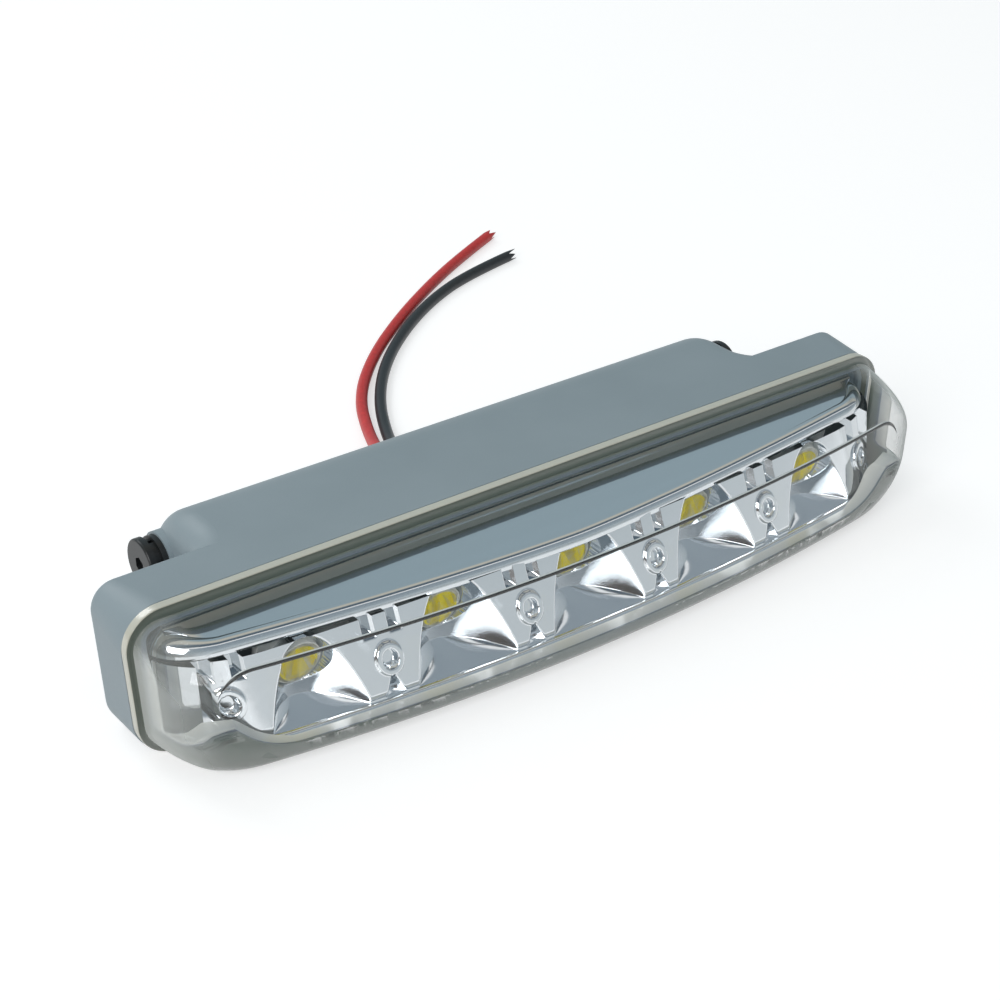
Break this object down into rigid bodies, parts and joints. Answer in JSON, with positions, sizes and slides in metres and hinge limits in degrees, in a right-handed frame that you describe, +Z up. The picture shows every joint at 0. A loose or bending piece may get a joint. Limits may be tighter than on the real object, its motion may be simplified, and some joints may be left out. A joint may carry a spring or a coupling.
{
  "type": "daytime running light",
  "caption": "Slim daytime running light: grey housing with end bracket screws, clear bowed lens over a chrome reflector with a row of LED bays, and two loose supply wires.",
  "frame": {"origin": "on the table, under the middle of the lamp's box, wires and grommet left out", "axes": "+X along the lamp, -Y the way the lens faces, +Z up"},
  "size_m": [0.1674, 0.1584, 0.027],
  "materials": {
    "grey_housing": "fine matt moulding texture",
    "clear_lens": "clear, glossy",
    "seal_rubber": "matt",
    "chrome_plating": "mirror-bright chrome plating on plastic",
    "lamp_board": "white solder mask",
    "lamp_package": "white, matt",
    "phosphor": "yellow, matt",
    "lamp_dome": "clear silicone",
    "board_laminate": "green solder mask",
    "coil_ferrite": "dark grey, matt",
    "capacitor_can": "bright can",
    "chip_plastic": "black, matt",
    "black_steel": "black oxide, half gloss",
    "plain_steel": "zinc plated",
    "insert_brass": "turned",
    "red_insulation": "half gloss",
    "black_insulation": "half gloss"
  },
  "bodies": {
    "root": {"rear_housing": "grey_housing", "front_lens": "clear_lens", "lens_seal": "seal_rubber", "reflector": "chrome_plating", "circuit_board": "lamp_board", "board_screws": "plain_steel", "driver_board": "board_laminate", "driver_screws": "plain_steel", "driver_coil": "coil_ferrite", "driver_capacitor": "capacitor_can", "driver_chip": "chip_plastic", "reverse_diode": "chip_plastic", "wire_grommet": "seal_rubber", "red_wire": "red_insulation", "black_wire": "black_insulation", "led_body_1": "lamp_package", "led_phosphor_1": "phosphor", "led_dome_1": "lamp_dome", "led_body_2": "lamp_package", "led_phosphor_2": "phosphor", "led_dome_2": "lamp_dome", "led_body_3": "lamp_package", "led_phosphor_3": "phosphor", "led_dome_3": "lamp_dome", "led_body_4": "lamp_package", "led_phosphor_4": "phosphor", "led_dome_4": "lamp_dome", "led_body_5": "lamp_package", "led_phosphor_5": "phosphor", "led_dome_5": "lamp_dome", "left_flat_washer": "black_steel", "left_lock_washer": "black_steel", "left_bracket_screw": "black_steel", "left_threaded_insert": "insert_brass", "right_flat_washer": "black_steel", "right_lock_washer": "black_steel", "right_bracket_screw": "black_steel", "right_threaded_insert": "insert_brass"}
  },
  "joints": []
}
